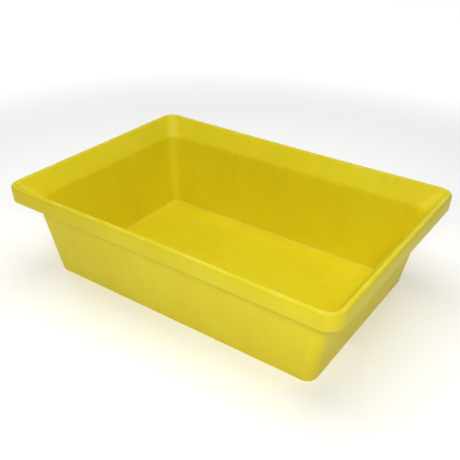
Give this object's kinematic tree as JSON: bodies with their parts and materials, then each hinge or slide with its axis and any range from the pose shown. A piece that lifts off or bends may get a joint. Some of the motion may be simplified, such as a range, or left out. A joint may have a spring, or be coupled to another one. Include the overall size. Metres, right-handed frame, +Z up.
{
  "type": "spill tray",
  "caption": "Open rectangular spill tray: one plastic moulding with a flat floor, sloping walls, a flared rim and a turned-down lip to carry it by.",
  "frame": {"origin": "on the ground, under the middle of the tray", "axes": "+X along the long side, +Y along the short side, +Z up"},
  "size_m": [0.6, 0.42, 0.17],
  "materials": {
    "tray_plastic": "satin yellow polyethylene, coloured right through"
  },
  "bodies": {
    "root": {"spill_tray": "tray_plastic"}
  },
  "joints": []
}
